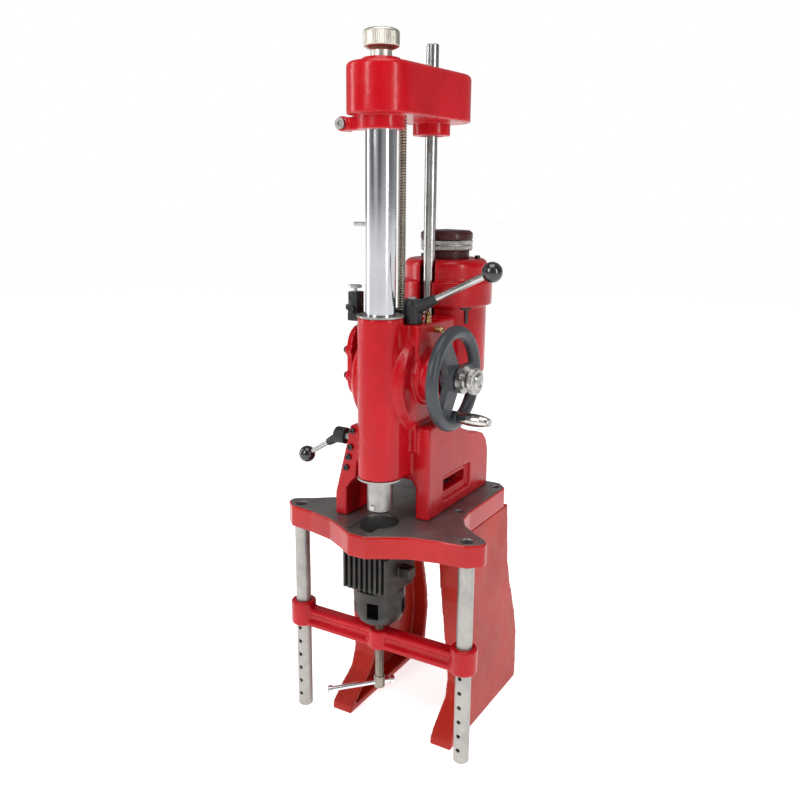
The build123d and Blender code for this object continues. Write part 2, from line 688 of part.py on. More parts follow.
def rod_gear():
    phase = 90.0 + 180 / ROD_GEAR_TEETH
    return Pos(0, ROD_Y, ROD_GEAR_Z) * spur_gear(ROD_GEAR_TEETH, GEAR_WIDTH, ROD_R, phase_deg=phase)


def rod_bearing(z, height):
    return ring(16, ROD_R + RUNNING_FIT, height, 0, ROD_Y, z)


# --- clamp under the table ---------------------------------------------------------------

def crossbar():
    half = [(14, 176), (14, 183), (8, 187), (8, 195), (12, 198), (12, 203), (9, 206)]
    outline = half + [(-y, z) for y, z in reversed(half)]
    bar = side_prism(outline, -POST_X, POST_X)
    for side in (-1, 1):
        boss = drum(BEAM_BOSS_R, BEAM_TOP - BEAM_BOTTOM, side * POST_X, 0, BEAM_BOTTOM)
        bar += chamfer(boss.edges().filter_by(GeomType.CIRCLE), 2)
    bar += chamfer(drum(19, CENTRE_BOSS_TOP - BEAM_BOTTOM, z=BEAM_BOTTOM).edges().filter_by(GeomType.CIRCLE), 1.5)
    for side in (-1, 1):
        bar -= drum(POST_R + 0.1, 60, side * POST_X, 0, 165)
        bar -= drum(4, 30, side * POST_X, 5, 195, "Y")
    return bar - drum(CLAMP_SCREW_R + RUNNING_FIT, 60, z=165)


def set_screws():
    return [cap_screw(side * POST_X, BEAM_BOSS_R, 195, "Y", 6, 4, 8, 5) for side in (-1, 1)]


def clamp_cup():
    profile = [(0, 0), (22, 0), (28, 3), (36, 10), (41, 22), (CUP_R, 62), (34, 62), (34, 24), (28, 14), (0, 14)]
    cup = turned(profile, 0, 0, CUP_BOTTOM)
    for angle in (15, 105, 195, 285):
        window = Pos(0, -38, CUP_BOTTOM + 33) * Box(19, 24, 27)
        cup -= Rot(0, 0, angle) * window
    return cup - drum(CLAMP_SCREW_R - 2 + RUNNING_FIT, 8, z=CUP_BOTTOM)


def sample_cylinder():
    """Finned cylinder held between the cup and the table while it is bored."""
    z0 = CUP_TOP
    height = WORK_TOP - z0
    core = block(-40, 40, -37, 37, z0, WORK_TOP)
    for i in range(9):
        x = -41 + 9.5 * i
        core += block(x, x + 4, -44, 44, z0 + 4, WORK_TOP - 6)
    core += block(40, 60, -10, 10, z0 + 26, z0 + 42)
    core -= drum(27, height, z=z0)
    return core - drum(4, 40, 50, 0, z0 + 10)


def clamp_screw():
    body = drum(CLAMP_SCREW_R, CUP_BOTTOM - 1 - 118, z=118) + drum(CLAMP_SCREW_R - 2, 7, z=CUP_BOTTOM - 1)
    body += drum(9, 20, z=CLAMP_SCREW_BOTTOM)
    return body - Pos(0, 0, 108) * Rot(0, 0, TOMMY_ANGLE) * Pos(-20, 0, 0) * drum(4.05, 40, axis="X")


def tommy_bar():
    rod = drum(4, 106, -86, 0, 0, "X") + drum(6, 7, -86, 0, 0, "X") + drum(6, 7, 18, 0, 0, "X")
    return Pos(0, 0, 108) * Rot(0, 0, TOMMY_ANGLE) * rod


PARTS = {
    "stand_table": stand_table(),
    "right_leg": right_leg(),
    "left_leg": mirror(right_leg(), about=Plane.YZ),
    "right_post": post(1),
    "left_post": post(-1),
    "stand_bolts": Compound(post_bolts() + leg_bolts()),
    "machine_body": machine_body(),
    "barrel_bushes": Compound([barrel_bush(BARREL_TOP - 60, 60), barrel_bush(BARREL_BOTTOM, 60)]),
    "barrel_collars": Compound([barrel_collar(BARREL_TOP), barrel_collar(BARREL_BOTTOM - 3)]),
    "left_gear_cover": left_gear_cover(),
    "cover_screws": Compound(left_cover_screws() + arm_screws()),
    "screw_boss": screw_boss(),
    "gear_case_bushes": Compound([nut_bush(682, 14), nut_bush(551, 10), wheel_bush()]),
    "feed_nut": feed_nut(),
    "nut_pinion": nut_pinion(),
    "crown_gear": crown_gear(),
    "wheel_shaft": wheel_shaft(),
    "handwheel": handwheel(),
    "wheel_fittings": Compound([grip_pin(), lock_collar()]),
    "crank_grip": crank_grip(),
    "clutch_knob": clutch_knob(),
    "lever_shafts": Compound([lever_post(), shift_shaft()]),
    "feed_lever_hub": feed_lever_hub(),
    "feed_lever_rod": feed_lever_rod(),
    "feed_lever_ball": feed_lever_ball(),
    "shift_lever_hub": shift_hub(),
    "shift_lever_rod": shift_rod(),
    "shift_lever_ball": shift_ball(),
    "trip_body": trip_body(),
    "trip_button": trip_button(),
    "oil_fittings": Compound([oil_cup(), oil_elbow()]),
    "motor_housing": motor_housing(),
    "motor_stator": motor_stator(),
    "shaft_bearings": Compound([motor_bearing(664), motor_bearing(766), rod_bearing(606, 14), rod_bearing(662, 30)]),
    "motor_rotor": motor_rotor(),
    "motor_pinion": motor_pinion(),
    "motor_cap": motor_cap(),
    "motor_ring": motor_ring(),
    "motor_fittings": Compound(motor_bolts() + [belt_strap()]),
    "head_casting": head_casting(),
    "head_plate": head_plate(),
    "bar_fasteners": Compound([clamp_cap_screw(), stop_pin()]),
    "quill": quill(),
    "head_bearings": Compound([quill_bearing(474), quill_bearing(980), knob_bearing(), rod_sleeve_bush(),
                               idler_axle()]),
    "feed_screw": feed_screw(),
    "spindle_shaft": spindle_shaft(),
    "spindle_nose": spindle_nose(),
    "cutter_bit": cutter_bit(),
    "spindle_gear": spindle_gear(),
    "top_knob": top_knob(),
    "idler_gear": idler_gear(),
    "drive_gear": drive_gear(),
    "drive_rod": drive_rod(),
    "rod_gear": rod_gear(),
    "crossbar": crossbar(),
    "set_screws": Compound(set_screws()),
    "clamp_cup": clamp_cup(),
    "sample_cylinder": sample_cylinder(),
    "clamp_screw": clamp_screw(),
    "tommy_bar": tommy_bar(),
}

boxes = [solid.bounding_box() for solid in PARTS.values()]
ORIGIN_X = (min(b.min.X for b in boxes) + max(b.max.X for b in boxes)) / 2
ORIGIN_Y = (min(b.min.Y for b in boxes) + max(b.max.Y for b in boxes)) / 2

os.makedirs("parts", exist_ok=True)
for name, solid in PARTS.items():
    export_step(Pos(-ORIGIN_X, -ORIGIN_Y, 0) * solid, f"parts/{name}.step")
print("origin", ORIGIN_X, ORIGIN_Y)
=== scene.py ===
import bpy
import bmesh
import json
import math
from mathutils import Matrix, Vector


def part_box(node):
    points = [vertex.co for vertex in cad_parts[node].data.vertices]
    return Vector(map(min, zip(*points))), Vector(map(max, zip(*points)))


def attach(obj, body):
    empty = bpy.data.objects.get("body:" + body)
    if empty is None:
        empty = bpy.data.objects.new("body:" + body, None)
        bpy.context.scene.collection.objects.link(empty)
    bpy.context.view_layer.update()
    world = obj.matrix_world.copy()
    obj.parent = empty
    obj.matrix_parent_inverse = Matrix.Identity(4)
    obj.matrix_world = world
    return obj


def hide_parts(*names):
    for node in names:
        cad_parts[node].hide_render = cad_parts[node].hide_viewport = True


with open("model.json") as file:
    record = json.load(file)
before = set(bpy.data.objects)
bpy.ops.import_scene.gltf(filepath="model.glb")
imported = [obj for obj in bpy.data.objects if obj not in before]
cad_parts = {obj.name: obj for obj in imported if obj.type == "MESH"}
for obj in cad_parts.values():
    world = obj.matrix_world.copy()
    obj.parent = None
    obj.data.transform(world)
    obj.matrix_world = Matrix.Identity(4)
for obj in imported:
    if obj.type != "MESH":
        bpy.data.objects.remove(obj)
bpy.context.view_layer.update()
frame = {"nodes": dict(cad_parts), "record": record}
NODES = frame["nodes"]
BODY_OF = {node: body for body, nodes in frame["record"]["behaviour"]["bodies"].items() for node in nodes}

# --- places read from the frame -----------------------------------------------------------


def centre(node):
    low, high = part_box(node)
    return (low + high) / 2


SPINDLE = centre("spindle_shaft")
SCREW = centre("feed_screw")
MOTOR = centre("motor_ring")
WHEEL = centre("wheel_shaft")
TABLE_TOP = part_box("stand_table")[1].z
BORE_WALL = (0.0318, 0.0322)  # bare wall of the work bore: full inside the first radius, none past the second
POCKET_MIDDLE = (-0.0085, SPINDLE.y - 0.026)
POCKET_REACH = (0.0225, 0.0255)
# counterbores in the table: distance from its middle line, place along it, and reach of the bare wall
BOLT_HOLES = ((0.1525, SPINDLE.y, 0.0105), (0.086, SPINDLE.y + 0.105, 0.008),
              (0.086, SPINDLE.y + 0.246, 0.008))

FEED_SCREW_R = 0.0063
CLAMP_SCREW_R = 0.007
CROSS_HOLE_R = 0.00405

# --- node helpers ---------------------------------------------------------------------------


class Shader:
    """A new material with its Principled shader, and short calls that add nodes to it."""

    def __init__(self, name, **settings):
        self.material = bpy.data.materials.new(name)
        self.material.use_nodes = True
        self.tree = self.material.node_tree
        self.bsdf = self.tree.nodes["Principled BSDF"]
        for key, value in settings.items():
            self.bsdf.inputs[key.replace("_", " ")].default_value = value
        self.place = self.add("ShaderNodeTexCoord").outputs["Object"]

    def add(self, kind, links=None, **settings):
        node = self.tree.nodes.new(kind)
        for key, value in settings.items():
            if hasattr(node, key):
                setattr(node, key, value)
            else:
                node.inputs[key.replace("_", " ")].default_value = value
        for key, source in (links or {}).items():
            self.tree.links.new(source, node.inputs[key])
        return node

    def link(self, source, socket):
        self.tree.links.new(source, self.bsdf.inputs[socket])

    def stretched(self, x, y, z):
        return self.add("ShaderNodeMapping", {"Vector": self.place}, Scale=(x, y, z)).outputs["Vector"]

    def noise(self, scale, detail=2.0, roughness=0.5, vector=None):
        node = self.add("ShaderNodeTexNoise", {"Vector": vector or self.place},
                        Scale=scale, Detail=detail, Roughness=roughness)
        return node.outputs["Fac"]

    def ramp(self, source, *stops):
        node = self.add("ShaderNodeValToRGB", {"Fac": source})
        elements = node.color_ramp.elements
        while len(elements) < len(stops):
            elements.new(0.5)
        for element, (position, colour) in zip(elements, stops):
            element.position = position
            element.color = colour if len(colour) == 4 else (*colour, 1)
        return node.outputs["Color"]

    def grey(self, source, *stops):
        return self.ramp(source, *[(p, (v, v, v)) for p, v in stops])

    def mix(self, factor, first, second, blend="MIX"):
        node = self.tree.nodes.new("ShaderNodeMix")
        node.data_type = "RGBA"
        node.blend_type = blend
        for socket, value in (("Factor_Float", factor), ("A_Color", first), ("B_Color", second)):
            target = next(s for s in node.inputs if s.identifier == socket)
            if isinstance(value, bpy.types.NodeSocket):
                self.tree.links.new(value, target)
            else:
                target.default_value = value
        return next(s for s in node.outputs if s.identifier == "Result_Color")

    def math(self, operation, *values):
        node = self.tree.nodes.new("ShaderNodeMath")
        node.operation = operation
        for socket, value in zip(node.inputs, values):
            if isinstance(value, bpy.types.NodeSocket):
                self.tree.links.new(value, socket)
            else:
                socket.default_value = value
        return node.outputs[0]

    def bump(self, source, distance, strength=1.0, under=None):
        links = {"Height": source}
        if under:
            links["Normal"] = under
        return self.add("ShaderNodeBump", links, Distance=distance, Strength=strength).outputs["Normal"]

    def rounded(self, radius):
        return self.add("ShaderNodeBevel", Radius=radius, samples=4).outputs["Normal"]

    def edges(self, radius, low, high):
        """1 on edges that stand out or in by more than a rounding of this radius, 0 on flats."""
        flat = self.add("ShaderNodeNewGeometry").outputs["Normal"]
        dot = self.tree.nodes.new("ShaderNodeVectorMath")
        dot.operation = "DOT_PRODUCT"
        self.tree.links.new(self.rounded(radius), dot.inputs[0])
        self.tree.links.new(flat, dot.inputs[1])
        return self.grey(dot.outputs["Value"], (low, 1.0), (high, 0.0))


# --- materials ------------------------------------------------------------------------------


def enamel(name, light, deep, thin, gloss=0.2, peel=1.0):
    """Gloss enamel brushed over cast iron: soft runs, orange peel, and edges lightened partly as worn paint,
    partly as a painted highlight.
    """
    s = Shader(name, Coat_Weight=0.14, Coat_Roughness=0.06, Coat_IOR=1.5, Specular_IOR_Level=0.2)
    cloud = s.noise(9.0, 3.0)
    paint = s.ramp(cloud, (0.32, deep), (0.68, light))
    # Lighter edges: partly worn thin paint, partly a painted highlight.
    edge = s.edges(0.0016, 0.86, 0.99)
    worn_and_highlit_edges = s.math("MULTIPLY", edge, s.grey(s.noise(120, 3), (0.42, 0.0), (0.6, 1.0)))
    paint = s.mix(s.math("MULTIPLY", worn_and_highlit_edges, 0.35), paint, (*thin, 1))
    dust = s.grey(s.noise(260, 4, 0.7), (0.66, 0.0), (0.74, 1.0))
    paint = s.mix(s.math("MULTIPLY", dust, 0.25), paint, (*[c * 0.45 for c in deep], 1))
    s.link(paint, "Base Color")
    s.link(s.grey(s.noise(35, 3), (0.3, gloss), (0.7, gloss + 0.12)), "Roughness")
    waves = s.bump(s.noise(42, 2), 0.0009 * peel, 0.6, s.rounded(0.0014))
    s.link(s.bump(s.noise(420, 2), 0.00016 * peel, 0.7, waves), "Normal")
    s.tree.links.new(waves, s.bsdf.inputs["Coat Normal"])
    return s.material


def turned_metal(name, colour, roughness, around="Z", lines=2600, grime=0.2, depth=0.00004):
    """Metal turned on a lathe: fine rings across its axis, with a thin film of oil and dust."""
    s = Shader(name, Metallic=1.0, Anisotropic=0.35)
    scale = {"X": (lines, 6, 6), "Y": (6, lines, 6), "Z": (6, 6, lines)}[around]
    rings = s.noise(1.0, 2.0, 0.6, s.stretched(*scale))
    cloud = s.noise(28, 4, 0.6)
    dark = tuple(c * (1 - grime) for c in colour)
    s.link(s.ramp(cloud, (0.3, dark), (0.65, colour)), "Base Color")
    mixed = s.math("ADD", s.math("MULTIPLY", rings, 0.12), s.math("MULTIPLY", cloud, 0.16))
    s.link(s.math("ADD", mixed, roughness - 0.1), "Roughness")
    s.link(s.bump(rings, depth, 0.6, s.rounded(0.0005)), "Normal")
    return s.material


def hard_chrome(name):
    s = Shader(name, Metallic=1.0)
    film = s.noise(14, 3)
    s.link(s.ramp(film, (0.3, (0.58, 0.59, 0.63)), (0.7, (0.72, 0.73, 0.76))), "Base Color")
    fine = s.noise(1.0, 2, 0.6, s.stretched(40, 40, 1800))
    wipe = s.noise(1.0, 3, 0.6, s.stretched(300, 300, 9))
    rough = s.math("ADD", s.math("MULTIPLY", fine, 0.05), s.math("MULTIPLY", wipe, 0.10))
    s.link(s.math("ADD", rough, 0.07), "Roughness")
    s.link(s.bump(wipe, 0.00003, 0.5, s.rounded(0.0005)), "Normal")
    return s.material


def galvanised(name):
    s = Shader(name, Metallic=0.85)
    patches = s.add("ShaderNodeTexVoronoi", {"Vector": s.place}, Scale=160.0).outputs["Color"]
    spangle = s.grey(patches, (0.1, 0.28), (0.9, 0.42))
    cloud = s.noise(22, 4, 0.65)
    base = s.mix(s.grey(cloud, (0.35, 0.0), (0.7, 1.0)), (0.30, 0.285, 0.26, 1), (0.44, 0.42, 0.385, 1))
    s.link(s.mix(0.3, base, spangle), "Base Color")
    s.link(s.grey(cloud, (0.3, 0.36), (0.75, 0.52)), "Roughness")
    drawn = s.noise(1.0, 3, 0.6, s.stretched(900, 900, 12))
    s.link(s.bump(drawn, 0.00008, 0.5, s.rounded(0.0008)), "Normal")
    return s.material


def black_finish(name, colour, roughness, grain, wear):
    """Blackened steel or iron that shows bare metal along its handled edges."""
    s = Shader(name, Metallic=0.35, Specular_IOR_Level=0.5)
    edge = s.edges(0.0009, 0.84, 0.99)
    worn = s.math("MULTIPLY", edge, s.grey(s.noise(300, 3), (0.4, 0.0), (0.62, wear)))
    cloud = s.noise(60, 4, 0.6)
    base = s.ramp(cloud, (0.3, tuple(c * 0.55 for c in colour)), (0.7, colour))
    s.link(s.mix(worn, base, (0.32, 0.31, 0.30, 1)), "Base Color")
    s.link(s.grey(s.noise(90, 3), (0.3, roughness), (0.7, roughness + 0.2)), "Roughness")
    s.link(s.bump(s.noise(grain, 3, 0.6), 0.0002, 0.6, s.rounded(0.0008)), "Normal")
    return s.material


def phenolic(name):
    s = Shader(name, Roughness=0.16, Coat_Weight=0.5, Coat_Roughness=0.05)
    s.link(s.ramp(s.noise(18, 3), (0.3, (0.006, 0.006, 0.007)), (0.7, (0.016, 0.016, 0.018))), "Base Color")
    s.link(s.grey(s.noise(120, 4, 0.7), (0.35, 0.12), (0.7, 0.3)), "Roughness")
    s.link(s.bump(s.noise(500, 2), 0.00006, 0.4), "Normal")
    return s.material


def dark_casting(name):
    """Oily grey-black iron with a sand-cast skin."""
    s = Shader(name, Metallic=0.1, Specular_IOR_Level=0.5)
    stain = s.noise(30, 5, 0.65)
    base = s.ramp(stain, (0.3, (0.005, 0.0045, 0.004)), (0.55, (0.016, 0.014, 0.011)),
                  (0.8, (0.045, 0.037, 0.026)))
    edge = s.edges(0.0012, 0.84, 0.99)
    s.link(s.mix(s.math("MULTIPLY", edge, 0.35), base, (0.30, 0.27, 0.22, 1)), "Base Color")
    s.link(s.grey(s.noise(45, 3), (0.3, 0.28), (0.7, 0.6)), "Roughness")
    s.link(s.bump(s.noise(520, 3, 0.6), 0.0004, 0.7, s.rounded(0.0010)), "Normal")
    return s.material


def table_material():
    """Painted casting whose flat top is ground to bare iron."""
    s = Shader("table_enamel_and_ground_iron", Coat_Roughness=0.08, Coat_IOR=1.5,
               Specular_IOR_Level=0.28)
    parts = s.add("ShaderNodeSeparateXYZ", {"Vector": s.place}).outputs
    normal = s.add("ShaderNodeNewGeometry").outputs["Normal"]
    up = s.add("ShaderNodeSeparateXYZ", {"Vector": normal}).outputs["Z"]
    high = s.grey(s.math("SUBTRACT", parts["Z"], TABLE_TOP - 0.011), (0.0, 0.0), (0.001, 1.0))
    flat = s.math("MULTIPLY", s.grey(up, (0.90, 0.0), (0.97, 1.0)), high)
    across = s.math("POWER", s.math("SUBTRACT", parts["X"], SPINDLE.x), 2)
    along = s.math("POWER", s.math("SUBTRACT", parts["Y"], SPINDLE.y), 2)
    bored = s.grey(s.math("SQRT", s.math("ADD", across, along)), (BORE_WALL[0], 1.0), (BORE_WALL[1], 0.0))
    off_x = s.math("ABSOLUTE", s.math("SUBTRACT", parts["X"], POCKET_MIDDLE[0]))
    off_y = s.math("ABSOLUTE", s.math("SUBTRACT", parts["Y"], POCKET_MIDDLE[1]))
    pocket = s.math("MULTIPLY", s.math("LESS_THAN", off_x, POCKET_REACH[0]),
                    s.math("LESS_THAN", off_y, POCKET_REACH[1]))
    holes = 0.0
    for x, y, reach in BOLT_HOLES:
        dx = s.math("POWER", s.math("SUBTRACT", s.math("ABSOLUTE", parts["X"]), x), 2)
        dy = s.math("POWER", s.math("SUBTRACT", parts["Y"], y), 2)
        near = s.math("LESS_THAN", s.math("SQRT", s.math("ADD", dx, dy)), reach)
        holes = s.math("MAXIMUM", near, holes)
    bare = s.math("MAXIMUM", s.math("MAXIMUM", flat, bored), s.math("MAXIMUM", pocket, holes))
    paint = s.ramp(s.noise(9, 3), (0.32, (0.33, 0.003, 0.003)), (0.68, (0.44, 0.005, 0.005)))
    # Lighter edges: partly worn paint, partly a painted highlight.
    edge = s.edges(0.002, 0.86, 0.99)
    paint = s.mix(s.math("MULTIPLY", edge, 0.25), paint, (0.62, 0.14, 0.13, 1))
    stain = s.noise(16, 5, 0.65)
    iron = s.ramp(stain, (0.3, (0.16, 0.145, 0.14)), (0.5, (0.27, 0.25, 0.245)), (0.75, (0.38, 0.355, 0.345)))
    feed = s.noise(1.0, 3, 0.65, s.stretched(60, 2200, 60))
    iron = s.mix(0.35, iron, s.grey(feed, (0.3, 0.10), (0.7, 0.32)))
    s.link(s.mix(bare, paint, iron), "Base Color")
    s.link(s.math("MULTIPLY", bare, 0.85), "Metallic")
    iron_rough = s.grey(s.noise(24, 4, 0.6), (0.3, 0.30), (0.7, 0.50))
    s.link(s.mix(bare, (0.24, 0.24, 0.24, 1), iron_rough), "Roughness")
    s.link(s.math("SUBTRACT", 0.14, s.math("MULTIPLY", bare, 0.14)), "Coat Weight")
    skin = s.bump(s.noise(48, 2), 0.0009, 0.6, s.rounded(0.002))
    s.link(s.bump(feed, 0.00006, 0.5, skin), "Normal")
    return s.material


# The third colour of each enamel is its lightened edge colour: worn paint and a painted highlight.
RED = enamel("red_enamel", (0.48, 0.004, 0.011), (0.34, 0.002, 0.005), (0.58, 0.06, 0.08))
STAND_RED = enamel("stand_enamel", (0.42, 0.016, 0.005), (0.31, 0.009, 0.003), (0.56, 0.10, 0.06), 0.38)
MAROON = enamel("maroon_enamel", (0.060, 0.010, 0.010), (0.035, 0.007, 0.007), (0.20, 0.05, 0.05), 0.35)
WHEEL_GREY = enamel("wheel_enamel", (0.050, 0.055, 0.062), (0.030, 0.034, 0.040), (0.22, 0.23, 0.25),
                    0.28, 0.7)
CHROME = hard_chrome("hard_chrome")
STEEL_Z = turned_metal("turned_steel_z", (0.55, 0.54, 0.52), 0.28, grime=0.3)
STEEL_X = turned_metal("turned_steel_x", (0.52, 0.51, 0.49), 0.24, "X", grime=0.35)
NICKEL = turned_metal("satin_nickel", (0.58, 0.55, 0.48), 0.3, "Z", 900, 0.2)
GROUND = turned_metal("ground_steel", (0.42, 0.41, 0.39), 0.34, "Z", 1500, 0.4)
GRIP = turned_metal("polished_grip", (0.60, 0.58, 0.55), 0.16, "X", 1200, 0.3)
ROD_STEEL = turned_metal("drawn_rod", (0.50, 0.49, 0.48), 0.2, "Z", 700, 0.3)
OILED = turned_metal("oiled_steel", (0.30, 0.27, 0.22), 0.34, "Z", 1400, 0.45)
ZINC = galvanised("galvanised_bar")
BLACK = black_finish("black_oxide", (0.022, 0.022, 0.024), 0.34, 600, 0.7)
IRON = dark_casting("dark_casting")
PLASTIC = phenolic("black_phenolic")
BRONZE = turned_metal("bronze", (0.52, 0.32, 0.13), 0.3, "Z", 1600, 0.3)
BRASS = turned_metal("brass", (0.60, 0.42, 0.17), 0.25, "Z", 1600, 0.3)
CORE = turned_metal("laminations", (0.20, 0.15, 0.11), 0.45, "Z", 1900, 0.4)
TABLE = table_material()

BY_SLOT = {
    "red_enamel": RED, "stand_enamel": STAND_RED, "ground_iron": TABLE, "hard_chrome": CHROME,
    "bright_steel": STEEL_Z, "galvanised": ZINC, "black_oxide": BLACK, "wheel_grey": WHEEL_GREY,
    "black_plastic": PLASTIC, "dark_casting": IRON, "bronze": BRONZE, "brass_fitting": BRASS,
    "maroon": MAROON, "copper_core": CORE, "screw_steel": OILED,
}
BY_NODE = {"stand_table": TABLE, "top_knob": NICKEL, "wheel_shaft": STEEL_X, "tommy_bar": CHROME,
           "spindle_nose": GROUND, "stand_bolts": BLACK, "bar_fasteners": GROUND, "barrel_collars": GROUND,
           "feed_lever_rod": ROD_STEEL, "shift_lever_rod": ROD_STEEL, "drive_rod": ROD_STEEL,
           "motor_ring": GROUND, "wheel_fittings": STEEL_X, "crank_grip": GRIP}


def dress_cad_nodes():
    slots = {sub["node"]: sub["material_slot"] for sub in frame["record"]["subparts"]}
    for name, node in NODES.items():
        node.data.materials.clear()
        node.data.materials.append(BY_NODE.get(name, BY_SLOT[slots[name]]))


dress_cad_nodes()

# --- mesh helpers ---------------------------------------------------------------------------


def put(name, mesh, material, body, replaces=()):
    piece = bpy.data.objects.new(name, mesh)
    bpy.context.scene.collection.objects.link(piece)
    mesh.materials.clear()
    mesh.materials.append(material)
    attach(piece, body)
    if replaces:
        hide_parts(*replaces)
    return piece


def applied(piece):
    """Turn a piece's modifiers into its mesh."""
    graph = bpy.context.evaluated_depsgraph_get()
    mesh = bpy.data.meshes.new_from_object(piece.evaluated_get(graph))
    piece.modifiers.clear()
    piece.data = mesh


def cast(node, voxel, passes, material):
    """A casting's real skin: the CAD solid with its corners and inner angles rounded by the mould."""
    mesh = NODES[node].data.copy()
    work = bmesh.new()
    work.from_mesh(mesh)
    bmesh.ops.remove_doubles(work, verts=work.verts, dist=1e-6)
    work.to_mesh(mesh)
    work.free()
    piece = put(node + "_skin", mesh, material, BODY_OF[node], [node])
    remesh = piece.modifiers.new("skin", "REMESH")
    remesh.mode = "VOXEL"
    remesh.voxel_size = voxel
    smooth = piece.modifiers.new("round", "SMOOTH")
    smooth.factor = 0.5
    smooth.iterations = passes
    applied(piece)
    piece.data.materials.clear()
    piece.data.materials.append(material)
    piece.data.shade_smooth()
    return piece


def lathe(profile, axis_point, axis="Z", steps=64, closed=False, teeth=0, depth=0.0):
    """Mesh turned from (radius, height) points about an axis through axis_point.

    A third value in a point marks it as knurled: its radius rises and falls with the teeth."""
    mesh = bpy.data.meshes.new("turned")
    work = bmesh.new()
    turn = {"Z": Matrix.Identity(3), "X": Matrix.Rotation(math.pi / 2, 3, "Y")}[axis]
    rings = []
    for radius, height, *knurl in profile:
        ring = []
        for i in range(steps):
            angle = 2 * math.pi * i / steps
            cut = depth * (0.5 - 0.5 * math.cos(teeth * angle)) if knurl else 0.0
            point = Vector(((radius - cut) * math.cos(angle), (radius - cut) * math.sin(angle), height))
            ring.append(work.verts.new(axis_point + turn @ point))
        rings.append(ring)
    pairs = list(zip(rings, rings[1:])) + ([(rings[-1], rings[0])] if closed else [])
    for first, second in pairs:
        for i in range(steps):
            j = (i + 1) % steps
            work.faces.new((first[i], first[j], second[j], second[i]))
    if not closed:
        work.faces.new(list(reversed(rings[0])))
        work.faces.new(rings[-1])
    bmesh.ops.recalc_face_normals(work, faces=work.faces)
    work.to_mesh(mesh)
    work.free()
    return mesh


def thread(radius, depth, pitch, start, length, steps=28):
    """Trapezoidal right-hand thread about Z from start upwards, closed at both ends."""
    mesh = bpy.data.meshes.new("thread")
    work = bmesh.new()
    grid = []
    for row in range(int(length / pitch * 10) + 1):
        z = row * pitch / 10
        ring = []
        for i in range(steps):
            angle = 2 * math.pi * i / steps
            phase = (z / pitch - i / steps) % 1.0
            rise = max(0.0, min(1.0, 3.2 * (0.5 - abs(phase - 0.5)) - 0.3))
            fade = min(1.0, z / pitch, (length - z) / pitch)
            r = radius - depth * rise * max(0.0, fade)
            ring.append(work.verts.new(start + Vector((r * math.cos(angle), r * math.sin(angle), z))))
        grid.append(ring)
    for first, second in zip(grid, grid[1:]):
        for i in range(steps):
            j = (i + 1) % steps
            work.faces.new((first[i], first[j], second[j], second[i]))
    work.faces.new(list(reversed(grid[0])))
    work.faces.new(grid[-1])
    bmesh.ops.recalc_face_normals(work, faces=work.faces)
    work.to_mesh(mesh)
    work.free()
    mesh.shade_smooth()
    return mesh


# --- castings -------------------------------------------------------------------------------

# node, voxel size of its skin, smoothing passes, material
CASTINGS = (
    ("machine_body", 0.0018, 5, RED),
    ("stand_table", 0.0016, 3, TABLE),
    ("right_leg", 0.0020, 5, STAND_RED),
    ("left_leg", 0.0020, 5, STAND_RED),
    ("crossbar", 0.0012, 5, RED),
    ("head_plate", 0.0013, 3, RED),
    ("handwheel", 0.0010, 5, WHEEL_GREY),
    ("clamp_cup", 0.0009, 4, IRON),
    ("sample_cylinder", 0.0009, 3, IRON),
    ("feed_lever_hub", 0.0006, 6, BLACK),
    ("shift_lever_hub", 0.0005, 5, BLACK),
    ("trip_body", 0.0006, 3, BLACK),
    ("left_gear_cover", 0.0010, 3, RED),
    ("head_casting", 0.0015, 6, RED),
    ("motor_housing", 0.0015, 5, RED),
    ("screw_boss", 0.0007, 4, BLACK),
    ("motor_cap", 0.0010, 4, MAROON),
)


def cast_everything():
    for node, voxel, passes, material in CASTINGS:
        cast(node, voxel, passes, material)


cast_everything()


def feed_screw():
    low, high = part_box("feed_screw")
    mesh = thread(FEED_SCREW_R, 0.0011, 0.004, Vector((SCREW.x, SCREW.y, low.z)), high.z - low.z)
    put("feed_screw_thread", mesh, OILED, BODY_OF["feed_screw"], ["feed_screw"])


feed_screw()


def knurled_knob():
    """Knob on the handwheel shaft: straight knurl round its rim, open at the back for the shaft."""
    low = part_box("clutch_knob")[0]
    profile = [(0.00505, 0.0), (0.0108, 0.0), (0.0128, 0.004), (0.0185, 0.0052), (0.0202, 0.0062, 1),
               (0.0209, 0.0072, 1), (0.0209, 0.0138, 1), (0.0202, 0.0148, 1), (0.0186, 0.0159),
               (0.0132, 0.016), (0.0122, 0.0172), (0.0108, 0.0188), (0.0104, 0.019), (0.0085, 0.019),
               (0.0075, 0.0182), (0.0012, 0.0178), (0.0012, 0.012), (0.00505, 0.0119)]
    mesh = lathe(profile, Vector((low.x, WHEEL.y, WHEEL.z)), "X", 288, True, 48, 0.0008)
    put("clutch_knob_knurled", mesh, STEEL_X, "knob", ["clutch_knob"])


def knurled_ring():
    """Knurled steel ring under the motor's cap."""
    low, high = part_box("motor_ring")
    tall = high.z - low.z
    profile = [(0.0301, 0.0), (0.0405, 0.0), (0.0418, 0.0012, 1), (0.0429, 0.0022, 1), (0.0429, 0.0075, 1),
               (0.0412, 0.0082), (0.0412, 0.0098), (0.0429, 0.0105, 1), (0.0429, tall - 0.0022, 1),
               (0.0418, tall - 0.001, 1), (0.0405, tall), (0.0301, tall)]
    mesh = lathe(profile, Vector((MOTOR.x, MOTOR.y, low.z)), "Z", 576, True, 96, 0.0009)
    put("motor_ring_knurled", mesh, GROUND, BODY_OF["motor_ring"], ["motor_ring"])


